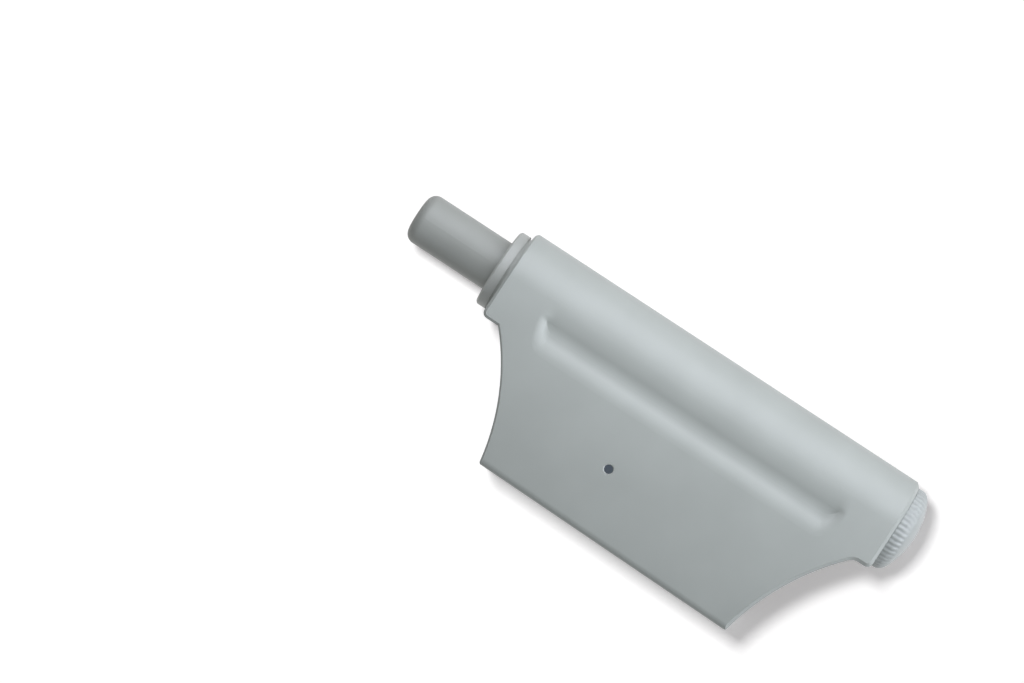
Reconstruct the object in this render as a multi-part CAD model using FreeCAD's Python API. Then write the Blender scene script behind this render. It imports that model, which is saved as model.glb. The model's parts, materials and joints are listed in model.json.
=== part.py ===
import FreeCAD, Part
import math
import os
from FreeCAD import Matrix, Vector

# Clip-on soft close damper for a cabinet hinge arm.
# A moulded cover carries a round tube along one side. The cover clips over a hinge arm, which lies in
# the channel beside the tube. In the tube an upside-down oil damper works: the cylinder is the plunger
# that the door meets, and the piston stands on a rod that is held at the back of the tube. A knurled
# knob at the tube's rear end turns a screw, which moves the rod's carrier and so the whole damper.
#
# Frame: origin at the middle of the arm seat, which is the underside of the cover's flat plate.
# +X points to the plunger's tip, +Y from the tube to the cover's far edge, +Z up through the plate.
# A station is a distance in millimetres behind the tube's front face, and a reach is a distance
# sideways from the tube's axis.

# Tube and cover
tube_length = 73.0
tube_diameter = 15.85
tube_wall = 1.8
plate_thickness = 1.8
channel_width = 17.4
arm_height = 10.2
front_root_station = 3.2
front_corner_station = 12.6
front_corner_reach = 27.8
front_arc_radius = 38.2
rear_root_inset = 2.9
rear_corner_inset = 13.6
rear_corner_reach = 28.4
rear_arc_radius = 41.6
rear_root_fillet = 2.0
shoulder_corner_radius = 1.0
far_corner_radius = 0.5
far_edge_radius = 1.1
front_rim_bevel = 0.4
front_arc_bevel = 0.3
rear_rim_bevel = 0.55

# Groove between the tube and the flat plate. At each end its far wall turns towards the tube's crown,
# about an upright axis at the turn reach, and the turn is shorter than wide by the turn ratio
groove_depth = 0.84
groove_root_radius = 3.6
groove_floor_width = 0.15
groove_lip_radius = 5.9
groove_turn_reach = 2.2
groove_turn_ratio = 0.52
groove_front_station = 11.0
groove_rear_inset = 10.7

# Release hole in the plate
hole_station = 30.2
hole_reach = 17.27
hole_diameter = 1.45
hole_chamfer = 0.15

# Inside of the arm channel
leg_thickness = 1.5
hook_length = 8.0
front_hook_offset = 9.8
rear_hook_offset = 4.0
hook_depth = 0.9
hook_height = 1.4
hook_undercut = 0.3
hook_tip_height = 0.4
stop_rib_offset = 3.0
stop_rib_thickness = 1.4
stop_rib_width = 3.0
stop_rib_height = 8.0
crush_rib_radius = 0.6
crush_rib_proud = 0.2
crush_rib_height = 8.0
crush_rib_count = 3
crush_rib_offset = 6.0

# Inside of the tube
rear_lip_length = 1.6
rear_lip_bore_diameter = 9.5
keyway_width = 2.0
keyway_depth = 0.8

# Fits
running_gap = 0.06
seat_gap = 0.02
end_gap = 0.06

# Plunger, which is the damper's cylinder
plunger_diameter = 8.7
plunger_reach = 17.75
plunger_tip_radius = 1.7
plunger_tip_wall = 2.6
plunger_bore_diameter = 6.5
plunger_stroke = 14.0
plunger_guide_length = 4.0
plunger_rear_clearance = 1.2

# Front guide bush with the collar that shows
collar_diameter = 13.55
collar_length = 1.8
collar_bevel = 0.3
shadow_gap_length = 0.5
shadow_gap_depth = 0.275
guide_spigot_length = 8.0
wiper_groove_station = 1.0
wiper_groove_length = 1.4
wiper_thickness = 0.87

# Knob and adjusting screw
knob_inset = 0.725
knob_length = 3.75
knob_gap = 0.1
knob_dome_height = 2.9
knob_rim_thickness = 1.3
knob_hub_diameter = 8.4
knob_recess_depth = 1.5
knob_bore_depth = 2.2
grip_groove_count = 50
grip_groove_share = 0.5
grip_groove_depth = 0.14
grip_groove_length = 2.3
grip_groove_turn_deg = 1.5
screw_diameter = 5.0
screw_stub_diameter = 4.0
screw_collar_diameter = 8.4
screw_collar_length = 1.2
screw_thread_length = 9.8
screw_tip_chamfer = 0.5
screw_engagement = 5.0
thrust_washer_thickness = 0.6
thrust_washer_diameter = 9.2
rear_bush_length = 6.0
rear_bush_nose_length = 1.4
friction_ring_section = 0.9
friction_ring_bevel = 0.15
friction_ring_groove_length = 1.3

# Rod carrier
adjust_travel = 1.8
carrier_length = 11.0
carrier_flange_length = 2.5
carrier_waist_diameter = 9.2
carrier_head_clearance = 0.3
key_height_clearance = 0.1

# Rod, piston and the pieces on the rod
rod_diameter = 2.4
rod_neck_diameter = 1.6
rod_head_diameter = 4.2
rod_head_length = 1.0
rod_nose_length = 0.5
clip_thickness = 0.5
clip_groove_depth = 0.25
clip_width = 0.8
clip_opening_deg = 70.0
piston_length = 4.5
piston_port_diameter = 0.7
piston_port_circle = 4.0
piston_port_count = 3
piston_seal_width = 1.2
piston_seal_depth = 0.5
check_disc_thickness = 0.4
check_disc_diameter = 5.4

# Closure at the cylinder's rear end
gland_ring_inset = 0.8
gland_ring_thickness = 0.7
gland_ring_groove_depth = 0.4
gland_ring_width = 1.3
rod_guide_length = 3.2
rod_guide_chamfer = 0.4
rod_seal_length = 2.0
rod_seal_notch_depth = 0.9
foam_length = 5.6
foam_bore_diameter = 3.4
partition_thickness = 0.8
partition_bore_diameter = 3.0
piston_stop_gap = 0.2

# Return spring in the cylinder
spring_wire_size = 0.32
spring_diameter = 5.9
spring_turns = 7.5

# Levels and positions that follow from the sizes above
tube_radius = tube_diameter / 2
bore_radius = tube_radius - tube_wall
collar_radius = collar_diameter / 2
shadow_gap_radius = collar_radius - shadow_gap_depth
wiper_groove_radius = plunger_diameter / 2 + running_gap + wiper_thickness + seat_gap
knob_radius = tube_radius - knob_inset
far_wall_reach = tube_radius + channel_width
axis_y = -(tube_radius + channel_width / 2)
plate_top_z = plate_thickness
axis_z = plate_top_z - tube_radius
base_z = axis_z - tube_radius
front_x = tube_length / 2
leg_bottom_z = -arm_height - hook_height
rear_root_station = tube_length - rear_root_inset
rear_corner_station = tube_length - rear_corner_inset
groove_rear_station = tube_length - groove_rear_inset
stop_rib_station = rear_corner_station - stop_rib_offset
front_hook_station = front_corner_station + front_hook_offset
rear_hook_station = rear_corner_station - rear_hook_offset - hook_length
first_crush_rib_station = front_corner_station + crush_rib_offset
last_crush_rib_station = rear_corner_station - 2 * stop_rib_offset - stop_rib_thickness

# How far a cutter runs past the face it cuts
overrun = 1.0

# Stations of the inner pieces, from the tube's rear end forward
lip_front = tube_length - rear_lip_length
bush_front = lip_front - rear_bush_length
thrust_front = bush_front - thrust_washer_thickness
screw_collar_rear = thrust_front - end_gap
screw_collar_front = screw_collar_rear - screw_collar_length
screw_tip = screw_collar_front - screw_thread_length
carrier_rear = screw_tip + screw_engagement
carrier_front = carrier_rear - carrier_length
rod_head_front = screw_tip - adjust_travel - carrier_head_clearance - rod_head_length
carrier_clip_front = carrier_front - clip_thickness
plunger_rear = carrier_clip_front - plunger_rear_clearance - plunger_stroke
gland_ring_rear = plunger_rear - gland_ring_inset
rod_guide_rear = gland_ring_rear - gland_ring_thickness
rod_seal_rear = rod_guide_rear - rod_guide_length
foam_rear = rod_seal_rear - rod_seal_length
partition_rear = foam_rear - foam_length
partition_front = partition_rear - partition_thickness
check_disc_rear = partition_front - piston_stop_gap
piston_rear = check_disc_rear - check_disc_thickness
piston_front = piston_rear - piston_length
piston_clip_front = piston_front - clip_thickness
rod_nose = piston_clip_front - rod_nose_length
cylinder_floor = plunger_tip_wall - plunger_reach


def place(station, reach, z=0.0):
    """Point at a station behind the tube's front face and a reach from the tube's axis."""
    return Vector(front_x - station, axis_y + reach, z)


def circle_arc(start, end, radius, bulge):
    """Arc of the given radius between two points, bowed towards the point bulge."""
    chord = end - start
    middle = (start + end) * 0.5
    sideways = Vector(-chord.y, chord.x, 0).normalize()
    if sideways.dot(bulge - middle) < 0:
        sideways = sideways * -1
    rise = radius - math.sqrt(radius ** 2 - (chord.Length / 2) ** 2)
    return Part.Arc(start, middle + sideways * rise, end).toShape()


def line(start, end):
    return Part.LineSegment(start, end).toShape()


def prism(wire, z_low, z_high):
    """Solid with the plan of a closed wire, drawn at height zero."""
    face = Part.Face(wire)
    face.translate(Vector(0, 0, z_low))
    return face.extrude(Vector(0, 0, z_high - z_low))


def block(station_front, station_rear, reach_near, reach_far, z_low, z_high):
    corner = place(station_rear, reach_near, z_low)
    return Part.makeBox(station_rear - station_front, reach_far - reach_near, z_high - z_low, corner)


def turned(profile):
    """Solid of revolution about the tube's axis from corners given as (station, radius)."""
    corners = [place(station, 0, axis_z) + Vector(0, 0, radius) for station, radius in profile]
    face = Part.Face(Part.makePolygon(corners + corners[:1]))
    return face.revolve(place(0, 0, axis_z), Vector(1, 0, 0), 360)


def ring(station_front, station_rear, inner_radius, outer_radius):
    """Plain ring, or a rod where the inner radius is zero."""
    return turned([
        (station_front, inner_radius),
        (station_front, outer_radius),
        (station_rear, outer_radius),
        (station_rear, inner_radius),
    ])


def fillet_where(shape, radius, wanted):
    """Round every edge for which wanted(edge) is true."""
    return shape.makeFillet(radius, [edge for edge in shape.Edges if wanted(edge)])


def bevel_where(shape, size, wanted):
    """Bevel every edge for which wanted(edge) is true."""
    return shape.makeChamfer(size, [edge for edge in shape.Edges if wanted(edge)])


def around_axis(shape, count):
    """Copies of a shape, spaced evenly about the tube's axis."""
    copies = []
    for index in range(count):
        one = shape.copy()
        one.rotate(place(0, 0, axis_z), Vector(1, 0, 0), 360 * index / count)
        copies.append(one)
    return copies


def is_circle_at(station, radius):
    """Test for a round edge about the tube's axis."""
    def test(edge):
        if not isinstance(edge.Curve, Part.Circle):
            return False
        x_matches = abs(edge.Curve.Center.x - (front_x - station)) < 1e-4
        return x_matches and abs(edge.Curve.Radius - radius) < 1e-4
    return test


def mid_point(edge):
    return edge.valueAt((edge.FirstParameter + edge.LastParameter) / 2)


def save(name, shape):
    solid = shape.removeSplitter()
    solid.exportStep(os.path.join("parts", name + ".step"))
    print(name, "valid" if solid.isValid() else "NOT VALID", len(solid.Solids), round(solid.Volume, 2))


# Housing: tube, shoulder, plate and skirt in one moulding

def cover_outline():
    """Plan of the flat top, from the line over the tube's axis to the cover's far edge."""
    middle = place((front_corner_station + rear_corner_station) / 2, front_corner_reach / 2)
    front_root = place(front_root_station, tube_radius)
    front_corner = place(front_corner_station, front_corner_reach)
    rear_corner = place(rear_corner_station, rear_corner_reach)
    rear_root = place(rear_root_station, tube_radius)
    edges = [
        line(place(0, 0), place(0, tube_radius)),
        line(place(0, tube_radius), front_root),
        circle_arc(front_root, front_corner, front_arc_radius, middle),
        line(front_corner, rear_corner),
        circle_arc(rear_corner, rear_root, rear_arc_radius, middle),
        line(rear_root, place(tube_length, tube_radius)),
        line(place(tube_length, tube_radius), place(tube_length, 0)),
        line(place(tube_length, 0), place(0, 0)),
    ]
    return Part.Wire(edges)


def is_upright_at(points):
    """Test for an upright edge over one of the given plan points."""
    def test(edge):
        middle = mid_point(edge)
        upright = abs(edge.tangentAt(edge.FirstParameter).z) > 0.999
        near = [p for p in points if math.hypot(middle.x - p.x, middle.y - p.y) < 0.01]
        return upright and bool(near)
    return test


def cover_solid():
    """Cover and shoulder from the base up to the flat top, with its outer edges rounded."""
    solid = prism(cover_outline(), base_z, plate_top_z)
    shoulder_corners = [place(0, tube_radius), place(tube_length, tube_radius)]
    solid = fillet_where(solid, shoulder_corner_radius, is_upright_at(shoulder_corners))
    rear_root = [place(rear_root_station, tube_radius)]
    solid = fillet_where(solid, rear_root_fillet, is_upright_at(rear_root))
    far_corners = [
        place(front_corner_station, front_corner_reach),
        place(rear_corner_station, rear_corner_reach),
    ]
    rounded_plan = fillet_where(solid, far_corner_radius, is_upright_at(far_corners))

    def on_top(edge):
        return all(abs(vertex.Z - plate_top_z) < 1e-4 for vertex in edge.Vertexes)

    def on_far_edge(edge):
        middle = mid_point(edge)
        return on_top(edge) and middle.y > axis_y + front_corner_reach - 0.01

    rims = [
        (rear_rim_bevel, rear_corner_station, tube_length + overrun),
        (front_rim_bevel, -overrun, front_root_station),
        (front_arc_bevel, front_root_station, front_corner_station),
    ]
    for size, station_front, station_rear in rims:
        def on_rim(edge):
            middle = mid_point(edge)
            beyond_axis = middle.y > axis_y + 0.01
            within = station_front < front_x - middle.x < station_rear
            return on_top(edge) and beyond_axis and within and not on_far_edge(edge)
        solid = bevel_where(solid, size, on_rim)
    return fillet_where(solid, far_edge_radius, on_far_edge).common(rounded_plan)


def side_slope(root_radius, shoulder_radius):
    """Steepest angle on a side of the groove that is a hollow arc and a round one above it."""
    return math.acos(1 - groove_depth / (root_radius + shoulder_radius))


def side_width(root_radius, shoulder_radius):
    return (root_radius + shoulder_radius) * math.sin(side_slope(root_radius, shoulder_radius))


def side_curves(root, root_radius, shoulder_radius, sideways):
    """Both arcs of a side of the groove, from its root up to its lip in the flat top, and the lip.
    sideways is 1 for the far side and -1 for the tube's side."""
    slope = side_slope(root_radius, shoulder_radius)
    lip = root + Vector(0, sideways * side_width(root_radius, shoulder_radius), groove_depth)

    def hollow_point(angle):
        rise = root_radius * (1 - math.cos(angle))
        return root + Vector(0, sideways * root_radius * math.sin(angle), rise)

    def shoulder_point(angle):
        drop = shoulder_radius * (1 - math.cos(angle))
        return lip - Vector(0, sideways * shoulder_radius * math.sin(angle), drop)

    hollow = Part.Arc(hollow_point(0), hollow_point(slope / 2), hollow_point(slope)).toShape()
    shoulder = Part.Arc(shoulder_point(slope), shoulder_point(slope / 2), lip).toShape()
    return [hollow, shoulder], lip


def section_face(curves, corners):
    """Upright face between a run of curves and the straight lines through the given corners."""
    sides = [line(first, second) for first, second in zip(corners, corners[1:])]
    return Part.Face(Part.Wire(curves + sides))


def space_beside_tube():
    """Space over the tube's own round and the hollow root beside it, open towards the far side."""
    floor_z = plate_top_z - groove_depth
    root = place(-overrun, side_width(groove_root_radius, tube_radius), floor_z)
    curves, lip = side_curves(root, groove_root_radius, tube_radius, -1)
    section = section_face(curves, [
        lip,
        lip + Vector(0, 0, overrun),
        place(-overrun, far_wall_reach, plate_top_z + overrun),
        place(-overrun, far_wall_reach, floor_z),
        root,
    ])
    return section.extrude(Vector(-tube_length - 2 * overrun, 0, 0))


def groove_bowl():
    """Space inside the groove's far wall, which turns at each end towards the tube's crown."""
    turn = Vector(0, 0, -groove_depth)
    root_reach = side_width(groove_root_radius, tube_radius) + groove_floor_width
    root = turn + Vector(0, root_reach - groove_turn_reach, 0)
    curves, lip = side_curves(root, groove_root_radius, groove_lip_radius, 1)
    section = section_face(curves, [
        lip,
        lip + Vector(0, 0, 2 * overrun),
        Vector(0, 0, 2 * overrun),
        turn,
        root,
    ])
    up = Vector(0, 0, 1)
    across = Vector(0, -groove_turn_reach - overrun, 0)
    length = groove_rear_station - groove_front_station
    straight = section.extrude(Vector(-length, 0, 0))
    middle = Part.makeBox(length, -across.y, groove_depth + 2 * overrun, turn + across - Vector(length, 0, 0))
    end_section = section.copy()
    end_section.rotate(Vector(0, 0, 0), up, -90)
    squeeze = Matrix()
    squeeze.scale(Vector(groove_turn_ratio, 1, 1))
    front_turn = section.revolve(Vector(0, 0, 0), up, -90).transformGeometry(squeeze)
    front_wall = end_section.extrude(across).transformGeometry(squeeze)
    ends = [front_turn, front_wall]
    for end in (front_turn, front_wall):
        rear = end.mirror(Vector(0, 0, 0), Vector(1, 0, 0))
        rear.translate(Vector(-length, 0, 0))
        ends.append(rear)
    bowl = straight.fuse([middle] + ends)
    bowl.translate(place(groove_front_station, groove_turn_reach, plate_top_z))
    return bowl


def hook(station, wall_reach, inward):
    """Snap hook on a channel wall. inward is 1 on the tube's side and -1 on the far wall."""
    top = -arm_height
    corners = [
        (0, top),
        (hook_depth, top - hook_undercut),
        (hook_depth, top - hook_undercut - hook_tip_height),
        (0, top - hook_height),
    ]
    section = [place(station, wall_reach + inward * out, z) for out, z in corners]
    face = Part.Face(Part.makePolygon(section + section[:1]))
    return face.extrude(Vector(-hook_length, 0, 0))


def stop_rib(reach_near):
    rear = stop_rib_station + stop_rib_thickness
    return block(stop_rib_station, rear, reach_near, reach_near + stop_rib_width, -stop_rib_height, 0)


def crush_rib(station):
    centre = place(station, far_wall_reach + crush_rib_radius - crush_rib_proud, -crush_rib_height)
    return Part.makeCylinder(crush_rib_radius, crush_rib_height, centre)


def keyways():
    """Two slots along the bore, which stop the rod carrier and the rear bush from turning."""
    front = carrier_front - adjust_travel - end_gap
    return key_pair(front, lip_front, bore_radius + keyway_depth, keyway_width)


def under_block(station_front, station_rear, reach_far, z_high):
    """Cutter for what lies under the shoulder, from the tube's axis out to a reach."""
    return block(station_front, station_rear, -overrun, reach_far, base_z - overrun, z_high)


def housing():
    front = -overrun
    rear = tube_length + overrun
    shell = cover_solid().cut([
        block(front, rear, tube_radius, far_wall_reach, base_z - overrun, 0),
        under_block(front, rear, tube_radius - leg_thickness, axis_z),
        under_block(front, rear, tube_radius, leg_bottom_z),
        under_block(front, front_root_station, tube_radius, axis_z),
        under_block(rear_root_station, rear, tube_radius, axis_z),
    ])

    tube = ring(0, tube_length, 0, tube_radius)
    for station, size in ((0, front_rim_bevel), (tube_length, rear_rim_bevel)):
        tube = bevel_where(tube, size, is_circle_at(station, tube_radius))
    inside = [
        stop_rib(tube_radius),
        stop_rib(far_wall_reach - stop_rib_width),
    ]
    for station in (front_hook_station, rear_hook_station):
        inside.append(hook(station, tube_radius, 1))
        inside.append(hook(station, far_wall_reach, -1))
    rib_step = (last_crush_rib_station - first_crush_rib_station) / (crush_rib_count - 1)
    for index in range(crush_rib_count):
        inside.append(crush_rib(first_crush_rib_station + index * rib_step))
    solid = shell.fuse([tube] + inside).removeSplitter()

    bore = ring(-overrun, lip_front, 0, bore_radius)
    lip_bore = ring(lip_front - overrun, tube_length + overrun, 0, rear_lip_bore_diameter / 2)
    solid = solid.cut([bore, lip_bore, keyways()])
    solid = solid.cut(groove_bowl().common(space_beside_tube()))

    hole_centre = place(hole_station, hole_reach, -overrun)
    hole_radius = hole_diameter / 2
    hole = Part.makeCylinder(hole_radius, plate_thickness + 2 * overrun, hole_centre)
    sink_depth = hole_chamfer + overrun
    sink_centre = place(hole_station, hole_reach, plate_top_z - hole_chamfer)
    sink = Part.makeCone(hole_radius, hole_radius + sink_depth, sink_depth, sink_centre)
    return solid.cut([hole, sink])


# Pieces fixed in the tube

def guide_bush():
    """Bush with the collar that shows in front of the tube, and a narrower neck as shadow gap."""
    inner = plunger_diameter / 2 + running_gap
    front = -(collar_length + shadow_gap_length)
    solid = turned([
        (front, inner),
        (front, collar_radius),
        (-shadow_gap_length, collar_radius),
        (-shadow_gap_length, shadow_gap_radius),
        (0, shadow_gap_radius),
        (0, bore_radius - seat_gap),
        (guide_spigot_length, bore_radius - seat_gap),
        (guide_spigot_length, inner),
    ])
    groove_rear = wiper_groove_station + wiper_groove_length
    solid = solid.cut(ring(wiper_groove_station, groove_rear, 0, wiper_groove_radius))
    return bevel_where(solid, collar_bevel, is_circle_at(front, collar_radius))


def wiper_ring():
    """Soft ring in the guide bush, with a lip that points forward."""
    inner = plunger_diameter / 2 + running_gap
    outer = wiper_groove_radius - seat_gap
    front = wiper_groove_station + seat_gap
    rear = wiper_groove_station + wiper_groove_length - seat_gap
    middle = (inner + outer) / 2
    return turned([
        (front, inner),
        (front, (inner + middle) / 2),
        ((front + rear) / 2, middle),
        (front, middle),
        (front, outer),
        (rear, outer),
        (rear, inner),
    ])


def key_pair(front, rear, key_reach, width):
    return block(front, rear, -key_reach, key_reach, axis_z - width / 2, axis_z + width / 2)


def rear_bush():
    """Bearing of the adjusting screw, seated on the tube's rear lip."""
    inner = screw_diameter / 2 + running_gap
    body_radius = bore_radius - seat_gap
    keys = key_pair(bush_front, lip_front, body_radius + keyway_depth, keyway_width - 2 * seat_gap)
    nose_rear = lip_front + rear_bush_nose_length
    nose = ring(lip_front, nose_rear, 0, rear_lip_bore_diameter / 2 - seat_gap)
    solid = ring(bush_front, lip_front, 0, body_radius).fuse([keys, nose])
    groove_front, groove_rear = friction_ring_groove()
    groove_radius = screw_diameter / 2 + running_gap + friction_ring_section + running_gap
    solid = solid.cut(ring(bush_front - overrun, nose_rear + overrun, 0, inner))
    return solid.cut(ring(groove_front, groove_rear, 0, groove_radius))


def friction_ring_groove():
    middle = (bush_front + lip_front) / 2
    return middle - friction_ring_groove_length / 2, middle + friction_ring_groove_length / 2


def friction_ring():
    """Square rubber ring, bevelled inside, that brakes the screw and holds the setting."""
    groove_front, groove_rear = friction_ring_groove()
    middle = (groove_front + groove_rear) / 2
    front = middle - friction_ring_section / 2
    rear = middle + friction_ring_section / 2
    inner = screw_diameter / 2 + running_gap
    return turned([
        (front, inner + friction_ring_bevel),
        (front, inner + friction_ring_section),
        (rear, inner + friction_ring_section),
        (rear, inner + friction_ring_bevel),
        (rear - friction_ring_bevel, inner),
        (front + friction_ring_bevel, inner),
    ])


def thrust_washer():
    return ring(thrust_front, bush_front, screw_diameter / 2 + running_gap, thrust_washer_diameter / 2)


# Knob and screw

def knob_curve(inset, station_from, station_to):
    """Part of the ellipse that rounds the knob's rim, set in by a depth."""
    centre = place(tube_length + knob_gap + knob_length - knob_dome_height, 0, axis_z)
    outer = knob_radius - inset
    height = knob_dome_height - inset
    ellipse = Part.Ellipse(centre + Vector(0, 0, outer), centre - Vector(height, 0, 0), centre)
    angles = [
        math.asin((centre.x - place(station, 0).x) / height) for station in (station_from, station_to)
    ]
    return Part.ArcOfEllipse(ellipse, *angles).toShape()


def crown_curve(rim, crown):
    """Arc of the flat crown from its rim to its middle on the axis."""
    rise = rim.x - crown.x
    reach = rim.z - crown.z
    radius = (reach ** 2 + rise ** 2) / (2 * rise)
    sag = radius - math.sqrt(radius ** 2 - (reach / 2) ** 2)
    return Part.Arc(rim, crown + Vector(sag, 0, reach / 2), crown).toShape()


def grip_groove():
    """Cutter for the first grip groove, with a floor that follows the knob's outside. It lies near the
    knob's top, turned a little towards the cover."""
    front = tube_length + knob_gap
    rear = front + grip_groove_length
    dome_start = front + knob_length - knob_dome_height
    outer = knob_radius
    curve = knob_curve(grip_groove_depth, dome_start, rear)
    floor_start = curve.Vertexes[0].Point
    floor_end = curve.Vertexes[-1].Point
    corners = [
        floor_end,
        place(rear, 0, axis_z + outer + overrun),
        place(front - overrun, 0, axis_z + outer + overrun),
        place(front - overrun, 0, axis_z + outer - grip_groove_depth),
        floor_start,
    ]
    sides = [line(first, second) for first, second in zip(corners, corners[1:])]
    angle = 360 / grip_groove_count * grip_groove_share
    section = Part.Face(Part.Wire([curve] + sides))
    groove = section.revolve(place(0, 0, axis_z), Vector(1, 0, 0), angle)
    groove.rotate(place(0, 0, axis_z), Vector(1, 0, 0), -angle / 2 - grip_groove_turn_deg)
    return groove


def adjuster_knob():
    """Cap with a domed end, hollow inside, and a ring of grip grooves that open towards the tube."""
    front = tube_length + knob_gap
    rear = front + knob_length
    outer = knob_radius
    hub = knob_hub_diameter / 2
    rim_inner = outer - knob_rim_thickness
    bore = screw_stub_diameter / 2
    floor = front + knob_recess_depth
    bore_end = front + knob_bore_depth
    dome_start = rear - knob_dome_height
    groove_end = front + grip_groove_length

    def at(station, radius):
        return place(station, 0, axis_z + radius)

    corners = [
        at(rear, 0),
        at(bore_end, 0),
        at(bore_end, bore),
        at(front, bore),
        at(front, hub),
        at(floor, hub),
        at(floor, rim_inner),
        at(front, rim_inner),
        at(front, outer),
        at(dome_start, outer),
    ]
    sides = [line(first, second) for first, second in zip(corners, corners[1:])]
    rim = knob_curve(0, dome_start, groove_end)
    crown = crown_curve(rim.Vertexes[-1].Point, at(rear, 0))
    section = Part.Face(Part.Wire(sides + [rim, crown]))
    solid = section.revolve(place(0, 0, axis_z), Vector(1, 0, 0), 360)
    return solid.cut(around_axis(grip_groove(), grip_groove_count))


def adjuster_screw():
    """Screw with a thrust collar, its journal in the rear bush and a stub pressed into the knob."""
    radius = screw_diameter / 2
    stub_front = tube_length + knob_gap
    return turned([
        (screw_tip, 0),
        (screw_tip, radius - screw_tip_chamfer),
        (screw_tip + screw_tip_chamfer, radius),
        (screw_collar_front, radius),
        (screw_collar_front, screw_collar_diameter / 2),
        (screw_collar_rear, screw_collar_diameter / 2),
        (screw_collar_rear, radius),
        (stub_front, radius),
        (stub_front, screw_stub_diameter / 2 - seat_gap),
        (stub_front + knob_bore_depth - seat_gap, screw_stub_diameter / 2 - seat_gap),
        (stub_front + knob_bore_depth - seat_gap, 0),
    ])


# Rod carrier, rod and piston

def rod_carrier():
    """Nut that slides on two keys in the tube: flanges at both ends and a waist between them."""
    outer = bore_radius - running_gap
    waist = carrier_waist_diameter / 2
    socket = screw_diameter / 2 + running_gap
    rod_hole = rod_diameter / 2 + seat_gap
    front_flange_rear = carrier_front + carrier_flange_length
    rear_flange_front = carrier_rear - carrier_flange_length
    solid = turned([
        (carrier_front, 0),
        (carrier_front, outer),
        (front_flange_rear, outer),
        (front_flange_rear, waist),
        (rear_flange_front, waist),
        (rear_flange_front, outer),
        (carrier_rear, outer),
        (carrier_rear, 0),
    ])
    key_reach = bore_radius + keyway_depth - key_height_clearance
    keys = key_pair(carrier_front, carrier_rear, key_reach, keyway_width - 2 * running_gap)
    solid = solid.fuse(keys)
    solid = solid.cut(ring(rod_head_front, carrier_rear + overrun, 0, socket))
    return solid.cut(ring(carrier_front - overrun, carrier_rear, 0, rod_hole))


def spring_clip(front, groove_radius):
    """Open retaining clip that snaps over a groove in the rod."""
    inner = groove_radius + seat_gap
    outer = inner + clip_width
    rear = front + clip_thickness
    solid = ring(front, rear, inner, outer)
    half = math.radians(clip_opening_deg / 2)
    far = 2 * outer
    mouth = [
        place(front - overrun, 0, axis_z),
        place(front - overrun, far * math.sin(half), axis_z - far * math.cos(half)),
        place(front - overrun, -far * math.sin(half), axis_z - far * math.cos(half)),
    ]
    face = Part.Face(Part.makePolygon(mouth + mouth[:1]))
    return solid.cut(face.extrude(Vector(-clip_thickness - 2 * overrun, 0, 0)))


def piston_rod():
    """Steel rod: neck for the piston, long shank, and an upset head in the carrier."""
    shank = rod_diameter / 2
    neck = rod_neck_diameter / 2
    solid = turned([
        (rod_nose, 0),
        (rod_nose, neck),
        (check_disc_rear, neck),
        (check_disc_rear, shank),
        (rod_head_front, shank),
        (rod_head_front, rod_head_diameter / 2),
        (rod_head_front + rod_head_length, rod_head_diameter / 2),
        (rod_head_front + rod_head_length, 0),
    ])
    front_groove = ring(piston_clip_front, piston_front, neck - clip_groove_depth, neck + overrun)
    rear_groove = ring(carrier_clip_front, carrier_front, shank - clip_groove_depth, shank + overrun)
    return solid.cut([front_groove, rear_groove])


def piston_radius():
    return plunger_bore_diameter / 2 - running_gap


def piston_seal_span():
    middle = (piston_front + piston_rear) / 2
    return middle - piston_seal_width / 2, middle + piston_seal_width / 2


def piston():
    """Piston with a seal groove and oil ports that the check disc covers."""
    radius = piston_radius()
    seal_front, seal_rear = piston_seal_span()
    solid = turned([
        (piston_front, rod_neck_diameter / 2 + seat_gap),
        (piston_front, radius),
        (seal_front, radius),
        (seal_front, radius - piston_seal_depth),
        (seal_rear, radius - piston_seal_depth),
        (seal_rear, radius),
        (piston_rear, radius),
        (piston_rear, rod_neck_diameter / 2 + seat_gap),
    ])
    port = Part.makeCylinder(
        piston_port_diameter / 2,
        piston_length + 2 * overrun,
        place(piston_rear + overrun, 0, axis_z + piston_port_circle / 2),
        Vector(1, 0, 0),
    )
    return solid.cut(around_axis(port, piston_port_count))


def piston_seal():
    seal_front, seal_rear = piston_seal_span()
    inner = piston_radius() - piston_seal_depth + seat_gap
    return ring(seal_front + seat_gap, seal_rear - seat_gap, inner, plunger_bore_diameter / 2 - seat_gap)


def check_disc():
    return ring(piston_rear, check_disc_rear, rod_neck_diameter / 2 + seat_gap, check_disc_diameter / 2)


# Plunger and the pieces that close its rear end

def plunger():
    """Damper cylinder with a round-edged tip and a wide guide ring at its rear end."""
    radius = plunger_diameter / 2
    bore = plunger_bore_diameter / 2
    guide_front = plunger_rear - plunger_guide_length
    solid = turned([
        (-plunger_reach, 0),
        (-plunger_reach, radius),
        (guide_front, radius),
        (guide_front, bore_radius - running_gap),
        (plunger_rear, bore_radius - running_gap),
        (plunger_rear, bore),
        (cylinder_floor, bore),
        (cylinder_floor, 0),
    ])
    groove_front = gland_ring_rear - gland_ring_thickness
    solid = solid.cut(ring(groove_front, gland_ring_rear, 0, bore + gland_ring_groove_depth))
    return fillet_where(solid, plunger_tip_radius, is_circle_at(-plunger_reach, radius))


def partition_washer():
    outer = plunger_bore_diameter / 2 - seat_gap
    return ring(partition_front, partition_rear, partition_bore_diameter / 2, outer)


def foam_compensator():
    outer = plunger_bore_diameter / 2 - seat_gap
    return ring(partition_rear, foam_rear, foam_bore_diameter / 2, outer)


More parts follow.
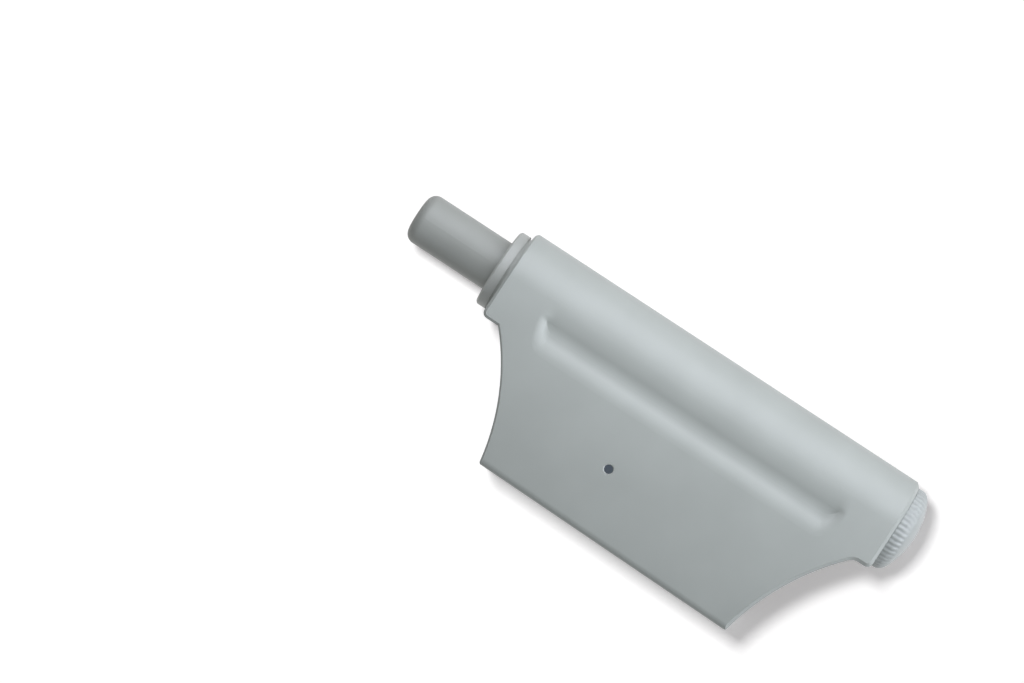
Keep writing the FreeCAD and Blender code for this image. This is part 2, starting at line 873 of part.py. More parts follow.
def rod_seal():
    """Lip seal on the rod, with its notch towards the oil."""
    inner = rod_diameter / 2 + running_gap
    outer = plunger_bore_diameter / 2 - seat_gap
    third = (outer - inner) / 3
    return turned([
        (foam_rear, inner),
        (foam_rear, inner + third),
        (foam_rear + rod_seal_notch_depth, (inner + outer) / 2),
        (foam_rear, outer - third),
        (foam_rear, outer),
        (rod_seal_rear, outer),
        (rod_seal_rear, inner),
    ])


def rod_guide():
    inner = rod_diameter / 2 + running_gap
    outer = plunger_bore_diameter / 2 - seat_gap
    return turned([
        (rod_seal_rear, inner),
        (rod_seal_rear, outer),
        (rod_guide_rear, outer),
        (rod_guide_rear, inner + rod_guide_chamfer),
        (rod_guide_rear - rod_guide_chamfer, inner),
    ])


def gland_ring():
    outer = plunger_bore_diameter / 2 + gland_ring_groove_depth - seat_gap
    return ring(rod_guide_rear, gland_ring_rear, outer - gland_ring_width, outer)


def return_spring():
    """Coil spring of square wire between the cylinder's floor and the piston. It pushes the plunger out."""
    half_wire = spring_wire_size / 2
    outer = spring_diameter / 2
    inner = outer - spring_wire_size
    height = piston_front - cylinder_floor - spring_wire_size
    helix = Part.makeHelix(height / spring_turns, height, outer - half_wire)
    section = Part.makePolygon([
        Vector(inner, 0, -half_wire),
        Vector(outer, 0, -half_wire),
        Vector(outer, 0, half_wire),
        Vector(inner, 0, half_wire),
        Vector(inner, 0, -half_wire),
    ])
    coil = Part.Wire(helix.Edges).makePipeShell([section], True, True)
    coil.rotate(Vector(0, 0, 0), Vector(0, 1, 0), 90)
    coil.translate(place(piston_front - half_wire, 0, axis_z))
    return coil


def main():
    os.makedirs("parts", exist_ok=True)
    save("housing", housing())
    save("guide_bush", guide_bush())
    save("wiper_ring", wiper_ring())
    save("rear_bush", rear_bush())
    save("friction_ring", friction_ring())
    save("thrust_washer", thrust_washer())
    save("adjuster_knob", adjuster_knob())
    save("adjuster_screw", adjuster_screw())
    save("rod_carrier", rod_carrier())
    save("carrier_clip", spring_clip(carrier_clip_front, rod_diameter / 2 - clip_groove_depth))
    save("piston_rod", piston_rod())
    save("piston", piston())
    save("piston_seal", piston_seal())
    save("check_disc", check_disc())
    save("piston_clip", spring_clip(piston_clip_front, rod_neck_diameter / 2 - clip_groove_depth))
    save("plunger", plunger())
    save("partition_washer", partition_washer())
    save("foam_compensator", foam_compensator())
    save("rod_seal", rod_seal())
    save("rod_guide", rod_guide())
    save("gland_ring", gland_ring())
    save("return_spring", return_spring())


main()
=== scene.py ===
import json
import math

import bpy
from mathutils import Matrix, Vector


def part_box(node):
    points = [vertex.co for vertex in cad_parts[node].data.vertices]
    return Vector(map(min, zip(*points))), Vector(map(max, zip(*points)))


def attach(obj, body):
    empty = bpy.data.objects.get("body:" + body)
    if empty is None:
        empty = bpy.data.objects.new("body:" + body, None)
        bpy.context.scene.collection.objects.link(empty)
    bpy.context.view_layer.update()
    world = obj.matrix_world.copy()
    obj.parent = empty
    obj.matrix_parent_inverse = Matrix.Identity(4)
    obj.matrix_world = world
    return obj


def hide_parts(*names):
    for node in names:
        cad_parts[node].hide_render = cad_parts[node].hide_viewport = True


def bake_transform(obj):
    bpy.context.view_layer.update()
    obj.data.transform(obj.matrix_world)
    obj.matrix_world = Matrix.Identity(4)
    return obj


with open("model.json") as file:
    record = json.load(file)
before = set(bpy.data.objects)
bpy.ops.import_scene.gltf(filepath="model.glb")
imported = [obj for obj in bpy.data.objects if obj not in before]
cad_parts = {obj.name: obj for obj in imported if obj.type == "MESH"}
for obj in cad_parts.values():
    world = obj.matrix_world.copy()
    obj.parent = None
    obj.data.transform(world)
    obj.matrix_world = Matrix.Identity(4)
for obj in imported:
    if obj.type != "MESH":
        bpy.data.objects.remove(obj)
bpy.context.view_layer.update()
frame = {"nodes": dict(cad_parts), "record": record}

# The scene is in metres, and its sizes are written in millimetres
MM = 0.001

# Landmarks of the part, from the frame
housing_low, housing_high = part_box("housing")
plunger_low, plunger_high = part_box("plunger")
tube_front = housing_high.x
axis_y = (plunger_low.y + plunger_high.y) / 2
axis_z = (plunger_low.z + plunger_high.z) / 2
plate_top = housing_high.z
floor_level = housing_low.z


def place(station, reach, height=0.0):
    """The point that lies station mm behind the tube's front, reach mm sideways from the tube's
    axis towards the cover's far edge, and height mm above the plate."""
    return Vector((tube_front - station * MM, axis_y + reach * MM, plate_top + height * MM))


def around_axis(station, radius, turn):
    """The point that lies station mm behind the tube's front and radius mm from the tube's axis,
    turned from straight up towards the cover's far edge."""
    sideways = radius * math.sin(turn)
    upward = radius * math.cos(turn)
    return Vector((tube_front - station * MM, axis_y + sideways * MM, axis_z + upward * MM))


def standing(side, up, back, spot):
    """The matrix of an object at spot whose own X, Y and Z run along side, up and back."""
    return Matrix((
        (side.x, up.x, back.x, spot.x),
        (side.y, up.y, back.y, spot.y),
        (side.z, up.z, back.z, spot.z),
        (0.0, 0.0, 0.0, 1.0),
    ))


def add_mesh(name, points, faces):
    """A new object at the origin with the mesh of these points and faces."""
    mesh = bpy.data.meshes.new(name)
    mesh.from_pydata(points, [], faces)
    mesh.update()
    piece = bpy.data.objects.new(name, mesh)
    bpy.context.scene.collection.objects.link(piece)
    return piece


def shade_smooth(mesh):
    """Shades every face of the mesh as part of a curved surface."""
    for face in mesh.polygons:
        face.use_smooth = True


# Camera: aim is the spot on the plate's plane that lies in the middle of the picture
IMAGE_WIDTH_MM = 161.6
SENSOR_MM = 36.0
NEAREST_SEEN_MM = 10.0
FARTHEST_SEEN_MM = 10000.0
TUBE_SLOPE_DEG = 33.31
eye = place(31.4, 8.0, 515.0)
aim = place(6.43, 8.795)


def make_camera():
    """Looks down on the plate, with the tube running down to the right across the picture."""
    tube_slope = math.radians(TUBE_SLOPE_DEG)
    back = (eye - aim).normalized()
    up_on_plate = Vector((math.sin(tube_slope), -math.cos(tube_slope), 0.0))
    right = up_on_plate.cross(back).normalized()
    data = bpy.data.cameras.new("camera")
    data.sensor_width = SENSOR_MM
    data.lens = SENSOR_MM * (eye - aim).length / (IMAGE_WIDTH_MM * MM)
    data.clip_start = NEAREST_SEEN_MM * MM
    data.clip_end = FARTHEST_SEEN_MM * MM
    camera = bpy.data.objects.new("camera", data)
    camera.matrix_world = standing(right, back.cross(right), back, eye)
    bpy.context.scene.collection.objects.link(camera)
    bpy.context.scene.camera = camera


# Lighting: a softbox's size is its width along the tube and its depth across it, in mm. All the softboxes
# point at lit_middle
FILL_LEVEL = 0.16
STRIP_SIZE = (160, 20)
WIDE_SIZE = (400, 180)
LARGE_SIZE = (400, 200)
TALL_SIZE = (120, 400)
FLOOR_LAMP_SIZE = (100, 100)
WHITE = (1.0, 1.0, 1.0)
lit_middle = place(34.0, 8.0)


def soft_light(name, tilt, swing, distance, size, radiance, colour):
    """A rectangular softbox, distance mm from lit_middle. Seen from there it is tilt degrees from
    straight up towards the tube's side and swing degrees towards the knob's end."""
    sideways = math.tan(math.radians(tilt))
    rearward = math.tan(math.radians(swing))
    direction = Vector((-rearward, -sideways, 1.0)).normalized()
    data = bpy.data.lights.new(name, "AREA")
    data.shape = "RECTANGLE"
    data.size = size[0] * MM
    data.size_y = size[1] * MM
    data.energy = radiance * math.pi * data.size * data.size_y
    data.color = colour
    light = bpy.data.objects.new(name, data)
    along = Vector((0.0, 1.0, 0.0)).cross(direction).normalized()
    spot = lit_middle + direction * distance * MM
    light.matrix_world = standing(along, direction.cross(along), direction, spot)
    light.visible_camera = False
    bpy.context.scene.collection.objects.link(light)
    return light


def light_only(light, receivers):
    """Lets a light fall on nothing but the receivers."""
    group = bpy.data.collections.new(light.name + "_receivers")
    for piece in receivers:
        group.objects.link(piece)
    light.light_linking.receiver_collection = group


def make_lights(pieces, floor):
    """Soft light on the part from both sides and from the knob's end, and one lamp for the floor's
    shadow."""
    part_lights = [
        soft_light(
            "high_strip", tilt=30, swing=0, distance=75, size=STRIP_SIZE,
            radiance=3.35, colour=(0.89, 0.915, 1.0),
        ),
        soft_light(
            "middle_strip", tilt=50, swing=0, distance=60, size=STRIP_SIZE,
            radiance=2.64, colour=(0.885, 0.915, 1.0),
        ),
        soft_light(
            "low_strip", tilt=65, swing=0, distance=60, size=STRIP_SIZE,
            radiance=1.53, colour=(0.9, 0.917, 1.0),
        ),
        soft_light(
            "low_softbox", tilt=70, swing=20, distance=500, size=WIDE_SIZE,
            radiance=1.49, colour=(0.96, 0.952, 1.0),
        ),
        soft_light(
            "far_softbox", tilt=-65, swing=10, distance=500, size=LARGE_SIZE,
            radiance=1.5, colour=(0.85, 0.917, 1.0),
        ),
        soft_light(
            "rear_softbox", tilt=10, swing=55, distance=600, size=LARGE_SIZE,
            radiance=1.2, colour=(0.805, 0.89, 1.0),
        ),
        soft_light(
            "low_rear_softbox", tilt=10, swing=74, distance=500, size=TALL_SIZE,
            radiance=9.63, colour=(0.894, 0.918, 1.0),
        ),
    ]
    for light in part_lights:
        light_only(light, pieces)
    shadow = soft_light(
        "floor_softbox", tilt=5, swing=-14, distance=600, size=FLOOR_LAMP_SIZE,
        radiance=80.0, colour=WHITE,
    )
    light_only(shadow, [floor])


# Nodes that the world and the materials are made of. A noise pattern keeps mostly between these two values
NOISE_LOW = 0.3
NOISE_HIGH = 0.7


def cleared_tree(owner, output_type):
    """The emptied node tree of a material or a world, and the surface socket of its new output."""
    owner.use_nodes = True
    tree = owner.node_tree
    tree.nodes.clear()
    return tree, tree.nodes.new(output_type).inputs["Surface"]


def feed(tree, socket, value):
    """Gives the socket its value: an output socket, a number, or red, green and blue."""
    if isinstance(value, bpy.types.NodeSocket):
        tree.links.new(value, socket)
    elif isinstance(value, (int, float)):
        socket.default_value = value
    else:
        socket.default_value = (*value, 1.0)


def calculate(tree, operation, *values):
    """The result of a sum on values, each an output socket or a number."""
    node = tree.nodes.new("ShaderNodeMath")
    node.operation = operation
    for socket, value in zip(node.inputs, values):
        feed(tree, socket, value)
    return node.outputs[0]


def map_range(tree, value, low, high, new_low=0.0, new_high=1.0, curve="LINEAR"):
    """The value, spread from low..high to new_low..new_high and held at their ends."""
    spread = tree.nodes.new("ShaderNodeMapRange")
    spread.interpolation_type = curve
    spread.inputs["From Min"].default_value = low
    spread.inputs["From Max"].default_value = high
    spread.inputs["To Min"].default_value = new_low
    spread.inputs["To Max"].default_value = new_high
    tree.links.new(value, spread.inputs["Value"])
    return spread.outputs["Result"]


def mix_colours(tree, share, first, second):
    """A colour that runs from first to second as the share goes from 0 to 1."""
    mix = tree.nodes.new("ShaderNodeMix")
    mix.data_type = "RGBA"
    tree.links.new(share, mix.inputs["Factor"])
    feed(tree, mix.inputs["A"], first)
    feed(tree, mix.inputs["B"], second)
    return mix.outputs["Result"]


def mix_shaders(tree, share, first, second):
    """A shader that turns from first to second as the share goes from 0 to 1."""
    mix = tree.nodes.new("ShaderNodeMixShader")
    tree.links.new(share, mix.inputs["Fac"])
    tree.links.new(first, mix.inputs[1])
    tree.links.new(second, mix.inputs[2])
    return mix.outputs[0]


def seen_directly(tree):
    """1 for what the camera sees, straight or in a reflection or through glass, and 0 for light on
    the part."""
    path = tree.nodes.new("ShaderNodeLightPath")
    either = calculate(tree, "MAXIMUM", path.outputs["Is Camera Ray"], path.outputs["Is Glossy Ray"])
    return calculate(tree, "MAXIMUM", either, path.outputs["Is Transmission Ray"])


def with_own_place(tree, operation, point):
    """The node that does a vector sum on the place of each spot of the surface and the given point."""
    coordinate = tree.nodes.new("ShaderNodeTexCoord")
    node = tree.nodes.new("ShaderNodeVectorMath")
    node.operation = operation
    tree.links.new(coordinate.outputs["Object"], node.inputs[0])
    node.inputs[1].default_value = point
    return node


def noise(tree, size_mm, detail=2.0, squeeze=(1.0, 1.0, 1.0)):
    """A noise pattern whose grains are about size_mm across, squeezed along each axis, as its output
    socket."""
    coordinate = tree.nodes.new("ShaderNodeTexCoord")
    mapping = tree.nodes.new("ShaderNodeMapping")
    mapping.inputs["Scale"].default_value = squeeze
    tree.links.new(coordinate.outputs["Object"], mapping.inputs["Vector"])
    texture = tree.nodes.new("ShaderNodeTexNoise")
    texture.inputs["Scale"].default_value = 1.0 / (size_mm * MM)
    texture.inputs["Detail"].default_value = detail
    tree.links.new(mapping.outputs[0], texture.inputs["Vector"])
    return texture.outputs["Fac"]


def between(tree, pattern, low, high):
    """A number that runs from low to high with a noise pattern."""
    return map_range(tree, pattern, NOISE_LOW, NOISE_HIGH, low, high)


def varied(tree, pattern, level, swing):
    """A number that goes up and down about level, by swing, with a noise pattern."""
    return between(tree, pattern, level - swing, level + swing)


def two_tones(tree, pattern, first, second):
    """A colour that runs from first to second with a noise pattern."""
    return mix_colours(tree, between(tree, pattern, 0.0, 1.0), first, second)


def bump(tree, shader, pattern, depth_mm):
    """Presses the pattern into the surface as relief depth_mm deep."""
    relief = tree.nodes.new("ShaderNodeBump")
    relief.inputs["Strength"].default_value = 1.0
    relief.inputs["Distance"].default_value = depth_mm * MM
    tree.links.new(pattern, relief.inputs["Height"])
    tree.links.new(relief.outputs["Normal"], shader.inputs["Normal"])


def make_world():
    """Even light from all around, and a white background."""
    world = bpy.data.worlds.new("studio")
    bpy.context.scene.world = world
    tree, surface = cleared_tree(world, "ShaderNodeOutputWorld")
    levels = []
    for strength in (FILL_LEVEL, 1.0):
        level = tree.nodes.new("ShaderNodeBackground")
        feed(tree, level.inputs["Color"], WHITE)
        level.inputs["Strength"].default_value = strength
        levels.append(level.outputs[0])
    tree.links.new(mix_shaders(tree, seen_directly(tree), *levels), surface)


# Floor: it glows faintly in GLOW_COLOUR, but for a patch of painted shadow, dark and bluish, where it shows
# through the release hole. From the patch's middle it is dark up to one radius and glows in full from the
# other on
FLOOR_HALF_WIDTH_MM = 2000.0
FLOOR_GAP_MM = 0.02
FLOOR_COLOUR = (0.9, 0.9, 0.9)
BOUNCE_COLOUR = (0.4, 0.4, 0.4)
GLOW_LEVEL = 0.34
GLOW_COLOUR = (1.0, 0.975, 0.985)
PAINTED_SHADOW_COLOUR = (0.14, 0.18, 0.25)
SHADOW_PATCH_STATION = 30.2
SHADOW_PATCH_REACH = 17.5
SHADOW_PATCH_RADIUS_MM = 6.0
GLOW_BACK_RADIUS_MM = 10.0


def floor_material(surface_z):
    """Shows white where no shadow falls, paints a shadow where it shows through the release hole, throws
    less light on the part than its looks would, and can be looked through from below. surface_z is the
    floor's level."""
    material = bpy.data.materials.new("pale_floor")
    tree, surface = cleared_tree(material, "ShaderNodeOutputMaterial")
    seen = seen_directly(tree)
    diffuse = tree.nodes.new("ShaderNodeBsdfDiffuse")
    tree.links.new(mix_colours(tree, seen, BOUNCE_COLOUR, FLOOR_COLOUR), diffuse.inputs["Color"])
    # Painted shadow: round the spot under the release hole the glow turns dark and bluish
    painted_shadow_spot = place(SHADOW_PATCH_STATION, SHADOW_PATCH_REACH)
    painted_shadow_spot.z = surface_z
    distance = with_own_place(tree, "DISTANCE", painted_shadow_spot).outputs["Value"]
    outside = map_range(
        tree, distance, SHADOW_PATCH_RADIUS_MM * MM, GLOW_BACK_RADIUS_MM * MM, curve="SMOOTHSTEP"
    )
    glow = tree.nodes.new("ShaderNodeEmission")
    tree.links.new(mix_colours(tree, outside, PAINTED_SHADOW_COLOUR, GLOW_COLOUR), glow.inputs["Color"])
    tree.links.new(calculate(tree, "MULTIPLY", seen, GLOW_LEVEL), glow.inputs["Strength"])
    both = tree.nodes.new("ShaderNodeAddShader")
    tree.links.new(diffuse.outputs[0], both.inputs[0])
    tree.links.new(glow.outputs[0], both.inputs[1])
    clear = tree.nodes.new("ShaderNodeBsdfTransparent")
    from_below = tree.nodes.new("ShaderNodeNewGeometry").outputs["Backfacing"]
    tree.links.new(mix_shaders(tree, from_below, both.outputs[0], clear.outputs[0]), surface)
    return material


def make_floor():
    """A plain pale floor that the part stands on."""
    half = FLOOR_HALF_WIDTH_MM * MM
    z = floor_level - FLOOR_GAP_MM * MM
    corners = [(-half, -half, z), (half, -half, z), (half, half, z), (-half, half, z)]
    floor = add_mesh("floor", corners, [(0, 1, 2, 3)])
    floor.data.materials.append(floor_material(z))
    return floor


# The groove beside the tube, as in the housing's solid, in mm. Its near side is the tube's own round, its
# far side a lip and a hollow that turn towards the tube's crown at each end
TUBE_RADIUS = 7.925
GROOVE_DEPTH = 0.84
GROOVE_ROOT_RADIUS = 3.6
GROOVE_LIP_RADIUS = 5.9
GROOVE_FLOOR_WIDTH = 0.15
GROOVE_TURN_REACH = 2.2
GROOVE_TURN_RATIO = 0.52
GROOVE_FRONT_STATION = 11.0
GROOVE_REAR_STATION = 62.3

# How the groove's ends fade out, in mm. The end wall is gone up to the first reach and whole from the
# second on. Where it's gone, the groove has its full depth END_FADE_STOP before the turn's middle. The
# crease at the wall's foot is rounded down to the first depth and sharp from the second on
END_FADE_STOP = 0.6
END_FADE_REACH = (1.9, 3.5)
CREASE_ROUNDING = 0.45
CREASE_DEPTHS = (0.5, 0.75)

# The thin layer that softens an end of the groove, in mm: how far it spreads in from the turn's middle and
# sideways from the tube's axis, and how its rim is sunk into the housing
LAYER_INWARD = (-4.5, 0.9)
LAYER_REACHES = (-1.3, 4.6)
LAYER_GRID = 0.1
LAYER_THICKNESS = 0.2
LAYER_RIM_WIDTH = 1.3
LAYER_RIM_DEPTH = 0.018
LAYER_LIFT = 0.005


def smooth_step(value, low, high):
    """0 below low, 1 above high, and a soft curve between."""
    share = min(max((value - low) / (high - low), 0.0), 1.0)
    return share ** 3 * (share * (6 * share - 15) + 10)


def side_width(lip_radius):
    """Width of a groove's side, from its lip to the groove's floor."""
    both = GROOVE_ROOT_RADIUS + lip_radius
    return math.sqrt(2 * GROOVE_DEPTH * both - GROOVE_DEPTH ** 2)


def side_depth(across, lip_radius):
    """Depth of a groove's side at a distance across from its lip: a convex arc, then a hollow one."""
    width = side_width(lip_radius)
    if across <= 0:
        return 0.0
    if across >= width:
        return GROOVE_DEPTH
    if across <= width * lip_radius / (GROOVE_ROOT_RADIUS + lip_radius):
        return lip_radius - math.sqrt(lip_radius ** 2 - across ** 2)
    rest = width - across
    return GROOVE_DEPTH - GROOVE_ROOT_RADIUS + math.sqrt(GROOVE_ROOT_RADIUS ** 2 - rest ** 2)


def groove_end_depth(inward, reach):
    """Depth of the groove near its end, inward mm from the turn's middle and reach mm from the tube's
    axis. The end wall fades out softly towards the tube's crown."""
    flank = side_depth(abs(reach), TUBE_RADIUS)
    if reach < 0:
        return flank
    lip = side_width(TUBE_RADIUS) + GROOVE_FLOOR_WIDTH + side_width(GROOVE_LIP_RADIUS) - GROOVE_TURN_REACH
    around = math.hypot(max(-inward, 0.0) / GROOVE_TURN_RATIO, max(reach - GROOVE_TURN_REACH, 0.0))
    wall = side_depth(lip - around, GROOVE_LIP_RADIUS)
    rounding = CREASE_ROUNDING * (1 - smooth_step(min(flank, wall), *CREASE_DEPTHS))
    overlap = max(rounding - abs(flank - wall), 0.0)
    rounded_off = overlap ** 2 / (4 * rounding) if overlap > 0 else 0.0
    walled = max(min(flank, wall) - rounded_off, 0.0)
    open_ended = flank * smooth_step(inward, -lip * GROOVE_TURN_RATIO, -END_FADE_STOP)
    keep = smooth_step(reach, *END_FADE_REACH)
    return min(keep * walled + (1 - keep) * open_ended, walled)


def rim_of_grid(rows, columns):
    """The numbers of a grid's outer points, in order round it, counted row by row."""
    rim = list(range(columns))
    rim += [row * columns + columns - 1 for row in range(1, rows)]
    rim += [(rows - 1) * columns + column for column in range(columns - 2, -1, -1)]
    rim += [row * columns for row in range(rows - 2, 0, -1)]
    return rim


def layer_faces(rows, columns):
    """Faces of a closed sheet: the top's points row by row, then the bottom's in the same order."""
    count = rows * columns
    faces = []
    for row in range(rows - 1):
        for column in range(columns - 1):
            corner = row * columns + column
            quad = (corner, corner + 1, corner + 1 + columns, corner + columns)
            faces.append(quad)
            faces.append(tuple(count + index for index in reversed(quad)))
    rim = rim_of_grid(rows, columns)
    for here, there in zip(rim, rim[1:] + rim[:1]):
        faces.append((there, here, count + here, count + there))
    return faces


def make_groove_end(name, station, inward_sign, material):
    """Thin layer of the moulding that softens the end of the groove, sunk into the housing at its
    rim. inward_sign is 1 where the groove runs on towards the knob."""
    rows = round((LAYER_REACHES[1] - LAYER_REACHES[0]) / LAYER_GRID) + 1
    columns = round((LAYER_INWARD[1] - LAYER_INWARD[0]) / LAYER_GRID) + 1
    top = []
    for row in range(rows):
        for column in range(columns):
            reach = LAYER_REACHES[0] + row * LAYER_GRID
            inward = LAYER_INWARD[0] + column * LAYER_GRID
            from_rim = min(row, rows - 1 - row, column, columns - 1 - column) * LAYER_GRID
            rise = (LAYER_RIM_DEPTH + LAYER_LIFT) * smooth_step(from_rim, 0.0, LAYER_RIM_WIDTH)
            height = rise - LAYER_RIM_DEPTH - groove_end_depth(inward, reach)
            top.append(place(station + inward_sign * inward, reach, height))
    bottom = [point - Vector((0.0, 0.0, LAYER_THICKNESS * MM)) for point in top]
    piece = add_mesh(name, top + bottom, layer_faces(rows, columns))
    if inward_sign > 0:
        piece.data.flip_normals()
    shade_smooth(piece.data)
    piece.data.materials.append(material)
    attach(piece, "cover")
    return piece


# The knob in mm, as in its solid but for its front edge and softer grip grooves. Fronts, rears and ends are
# mm behind the tube's front, and the first grip groove is turned a little from straight up
KNOB_RADIUS = 7.2
KNOB_FRONT = 73.04
KNOB_REAR = 76.85
KNOB_EDGE_BEVEL = 0.06
KNOB_BORE_RADIUS = 2.0
KNOB_BORE_END = 75.3
KNOB_HUB_RADIUS = 4.2
KNOB_RECESS_END = 74.6
KNOB_RIM_RADIUS = 5.9
KNOB_DOME_HEIGHT = 2.9
GRIP_GROOVE_COUNT = 50
GRIP_GROOVE_TURN_DEG = 1.5
GRIP_GROOVE_DEPTH = 0.115
GRIP_GROOVE_END = 75.4
GRIP_GROOVE_FADE = 0.5
STEPS_PER_GROOVE = 10
DOME_STEPS = 14
CROWN_STEPS = 12
SHARP_EDGE_DEG = 40.0


def knob_profile():
    """The knob's outline from the end of its bore, round its recess and rim, to the crown's middle, as
    pairs of station and radius."""
    profile = [
        (KNOB_BORE_END, 0.0),
        (KNOB_BORE_END, KNOB_BORE_RADIUS),
        (KNOB_FRONT, KNOB_BORE_RADIUS),
        (KNOB_FRONT, KNOB_HUB_RADIUS),
        (KNOB_RECESS_END, KNOB_HUB_RADIUS),
        (KNOB_RECESS_END, KNOB_RIM_RADIUS),
        (KNOB_FRONT, KNOB_RIM_RADIUS),
        (KNOB_FRONT, KNOB_RADIUS - KNOB_EDGE_BEVEL),
        (KNOB_FRONT + KNOB_EDGE_BEVEL, KNOB_RADIUS),
    ]
    dome_start = KNOB_REAR - KNOB_DOME_HEIGHT
    dome_angle = math.asin((GRIP_GROOVE_END - dome_start) / KNOB_DOME_HEIGHT)
    for step in range(DOME_STEPS + 1):
        angle = dome_angle * step / DOME_STEPS
        profile.append((dome_start + KNOB_DOME_HEIGHT * math.sin(angle), KNOB_RADIUS * math.cos(angle)))
    rise = KNOB_REAR - GRIP_GROOVE_END
    reach = profile[-1][1]
    crown_radius = (reach ** 2 + rise ** 2) / (2 * rise)
    crown_angle = math.asin(reach / crown_radius)
    for step in range(1, CROWN_STEPS + 1):
        angle = crown_angle * (1 - step / CROWN_STEPS)
        profile.append((KNOB_REAR - crown_radius * (1 - math.cos(angle)), crown_radius * math.sin(angle)))
    return profile


def groove_cut(station, radius, turn):
    """Depth of the grip grooves at a point of the knob. There are none inside its rim."""
    if radius <= KNOB_RIM_RADIUS:
        return 0.0
    wave = 0.5 + 0.5 * math.cos(GRIP_GROOVE_COUNT * (turn - math.radians(GRIP_GROOVE_TURN_DEG)))
    fade = 1 - smooth_step(station, GRIP_GROOVE_END - GRIP_GROOVE_FADE, GRIP_GROOVE_END)
    return GRIP_GROOVE_DEPTH * wave * fade


def make_knob(material):
    """The knob with soft ribs that fade out on its dome: a ring of points for each pair of the
    profile, and one point at each end of it."""
    profile = knob_profile()
    rings = profile[1:-1]
    turns = GRIP_GROOVE_COUNT * STEPS_PER_GROOVE
    bore_end, crown_middle = 0, 1
    points = [around_axis(*profile[0], 0.0), around_axis(*profile[-1], 0.0)]
    first_ring = len(points)
    for station, radius in rings:
        for index in range(turns):
            turn = 2 * math.pi * index / turns
            points.append(around_axis(station, radius - groove_cut(station, radius, turn), turn))
    last_ring = len(points) - turns
    faces = []
    for index in range(turns):
        after = (index + 1) % turns
        faces.append((bore_end, first_ring + after, first_ring + index))
        faces.append((crown_middle, last_ring + index, last_ring + after))
        for ring in range(first_ring, last_ring, turns):
            faces.append((ring + index, ring + after, ring + turns + after, ring + turns + index))
    knob = add_mesh("ribbed_knob", points, faces)
    shade_smooth(knob.data)
    knob.data.set_sharp_from_angle(angle=math.radians(SHARP_EDGE_DEG))
    knob.data.materials.append(material)
    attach(knob, "knob")
    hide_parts("adjuster_knob")
    return knob


def make_return_spring(material):
    """The coil spring between the piston and the plunger's front, as a copy of its piece in the given
    material.
    """
    coil = bpy.data.objects.new("coil_spring", frame["nodes"]["return_spring"].data.copy())
    coil.data.materials.clear()
    coil.data.materials.append(material)
    bpy.context.scene.collection.objects.link(coil)
    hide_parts("return_spring")
    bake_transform(coil)
    return coil


def new_material(name):
    """A new material with its tree and its one shader, joined to the output."""
    material = bpy.data.materials.new(name)
    tree, surface = cleared_tree(material, "ShaderNodeOutputMaterial")
    shader = tree.nodes.new("ShaderNodeBsdfPrincipled")
    tree.links.new(shader.outputs[0], surface)
    return material, tree, shader


def scaled(tone, factor):
    """The tone, made lighter or darker."""
    return [channel * factor for channel in tone]


def groove_shade_share(tree):
    """Share of painted shade on the knob: 1 in the middle of each grip groove, and 0 on the ribs and on the
    crown.
    """
    from_front = with_own_place(tree, "SUBTRACT", (tube_front, axis_y, axis_z))
    parts = tree.nodes.new("ShaderNodeSeparateXYZ")
    tree.links.new(from_front.outputs["Vector"], parts.inputs[0])
    turn = calculate(tree, "ARCTAN2", parts.outputs["Y"], parts.outputs["Z"])
    from_groove = calculate(tree, "SUBTRACT", turn, math.radians(GRIP_GROOVE_TURN_DEG))
    wave = calculate(tree, "COSINE", calculate(tree, "MULTIPLY", from_groove, GRIP_GROOVE_COUNT))
    groove = calculate(tree, "MULTIPLY_ADD", wave, 0.5, 0.5)
    groove_end = -GRIP_GROOVE_END * MM
    fade = map_range(tree, parts.outputs["X"], groove_end, groove_end + GRIP_GROOVE_FADE * MM)
    return calculate(tree, "MULTIPLY", groove, fade)


# Faint cloudiness of the moulded plastics
CLOUD_SIZE_MM = 9.0
CLOUD_STRENGTH = 0.03


def moulded_plastic(name, tone, roughness, grain_mm=0.16, relief_mm=0.004, groove_shade_tone=None):
    """Satin moulded plastic: an even colour with faint cloudiness and a fine eroded grain. With a
    groove tone it paints shade into the knob's grip grooves, darkening them towards that tone."""
    material, tree, shader = new_material(name)
    clouds = noise(tree, CLOUD_SIZE_MM)
    colour = two_tones(tree, clouds, scaled(tone, 1 - CLOUD_STRENGTH), scaled(tone, 1 + CLOUD_STRENGTH))
    if groove_shade_tone:
        # Painted shade: the grip grooves are darkened towards the groove tone, standing in for the shade
        # that falls in them
        colour = mix_colours(tree, groove_shade_share(tree), colour, groove_shade_tone)
    tree.links.new(colour, shader.inputs["Base Color"])
    grain = noise(tree, grain_mm, detail=3.0)
    tree.links.new(varied(tree, grain, roughness, swing=0.04), shader.inputs["Roughness"])
    bump(tree, shader, grain, relief_mm)
    return material


def metal(name, tone, roughness, squeeze=(1.0, 1.0, 1.0)):
    """Steel with a fine grain, which runs in lines where it's squeezed along two axes."""
    material, tree, shader = new_material(name)
    shader.inputs["Metallic"].default_value = 1.0
    lines = noise(tree, size_mm=0.12, detail=3.0, squeeze=squeeze)
    tree.links.new(two_tones(tree, lines, scaled(tone, 0.9), tone), shader.inputs["Base Color"])
    tree.links.new(varied(tree, lines, roughness, swing=0.07), shader.inputs["Roughness"])
    bump(tree, shader, lines, depth_mm=0.002)
    return material


def rubber(name, tone):
    """Matt black rubber with a faint bloom."""
    material, tree, shader = new_material(name)
    bloom = noise(tree, size_mm=1.2, detail=4.0)
    tree.links.new(two_tones(tree, bloom, tone, scaled(tone, 1.8)), shader.inputs["Base Color"])
    tree.links.new(varied(tree, bloom, 0.7, swing=0.1), shader.inputs["Roughness"])
    bump(tree, shader, noise(tree, size_mm=0.2, detail=3.0), depth_mm=0.004)
    return material


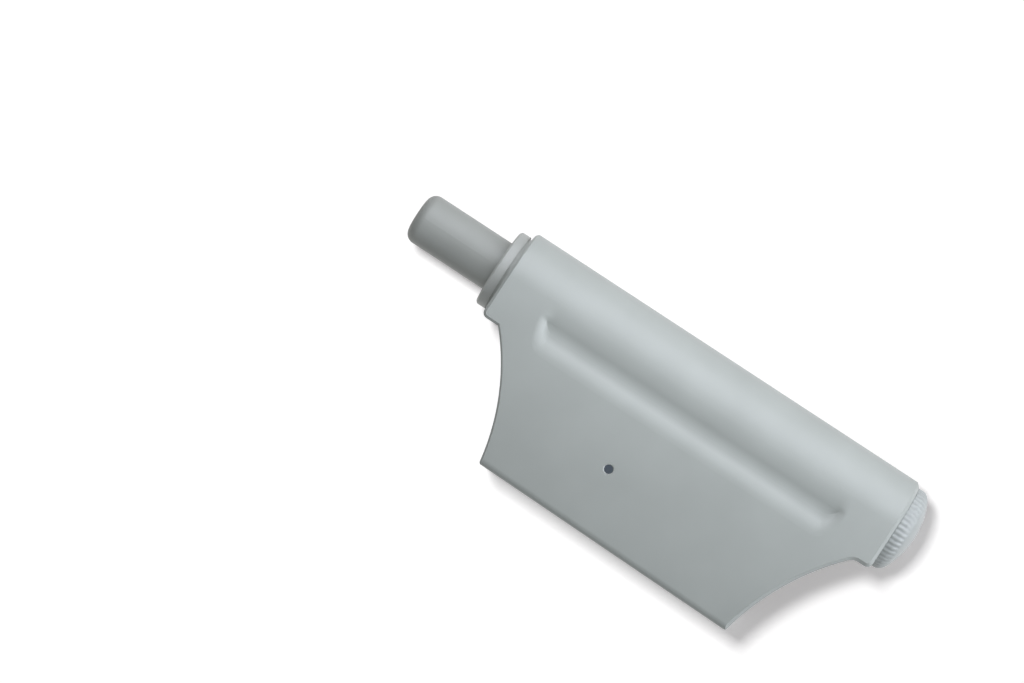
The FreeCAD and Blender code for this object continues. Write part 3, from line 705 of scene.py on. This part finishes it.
def foam(name, tone, cell_mm):
    """Closed-cell foam with small pits, painted darker in their hollows as shade."""
    material, tree, shader = new_material(name)
    coordinate = tree.nodes.new("ShaderNodeTexCoord")
    cells = tree.nodes.new("ShaderNodeTexVoronoi")
    cells.inputs["Scale"].default_value = 1.0 / (cell_mm * MM)
    tree.links.new(coordinate.outputs["Object"], cells.inputs["Vector"])
    pits = cells.outputs["Distance"]
    # Painted shade: the pits' hollows are coloured darker than the cell walls
    tree.links.new(two_tones(tree, pits, tone, scaled(tone, 1.6)), shader.inputs["Base Color"])
    shader.inputs["Roughness"].default_value = 0.9
    bump(tree, shader, pits, depth_mm=0.08)
    return material


def make_materials():
    """One material for each of the record's slots."""
    cover = moulded_plastic("cover_satin", (0.352, 0.375, 0.352), roughness=0.42)
    collar = moulded_plastic("collar_satin", (0.38, 0.395, 0.37), roughness=0.42)
    # The knob gets painted shade in its grip grooves: a darker tone where shade falls
    knob = moulded_plastic(
        "knob_satin", (0.381, 0.405, 0.39), roughness=0.42, groove_shade_tone=(0.336, 0.357, 0.348)
    )
    plunger = moulded_plastic(
        "plunger_satin", (0.305, 0.318, 0.296), roughness=0.48, grain_mm=0.12, relief_mm=0.002
    )
    return {
        "cover_plastic": cover,
        "collar_plastic": collar,
        "knob_plastic": knob,
        "plunger_plastic": plunger,
        "inner_plastic": moulded_plastic("natural_acetal", (0.70, 0.69, 0.64), roughness=0.38),
        "rod_steel": metal("ground_steel", (0.60, 0.60, 0.59), roughness=0.25, squeeze=(1.0, 12.0, 12.0)),
        "spring_steel": metal("drawn_wire", (0.42, 0.42, 0.43), roughness=0.35),
        "seal_rubber": rubber("seal_rubber", (0.03, 0.03, 0.03)),
        "foam": foam("closed_cell_foam", (0.10, 0.10, 0.11), cell_mm=0.35),
    }


def dress_nodes(materials):
    """Gives each of the part's pieces the material of its slot."""
    slots = {row["node"]: row["material_slot"] for row in frame["record"]["subparts"]}
    for name, piece in frame["nodes"].items():
        piece.data.materials.clear()
        piece.data.materials.append(materials[slots[name]])


make_camera()
make_world()
materials = make_materials()
dress_nodes(materials)
added = [
    make_groove_end("groove_front_end", GROOVE_FRONT_STATION, 1, materials["cover_plastic"]),
    make_groove_end("groove_rear_end", GROOVE_REAR_STATION, -1, materials["cover_plastic"]),
    make_knob(materials["knob_plastic"]),
    make_return_spring(materials["spring_steel"]),
]
make_lights([*frame["nodes"].values(), *added], make_floor())
bpy.context.scene.view_settings.view_transform = "Standard"
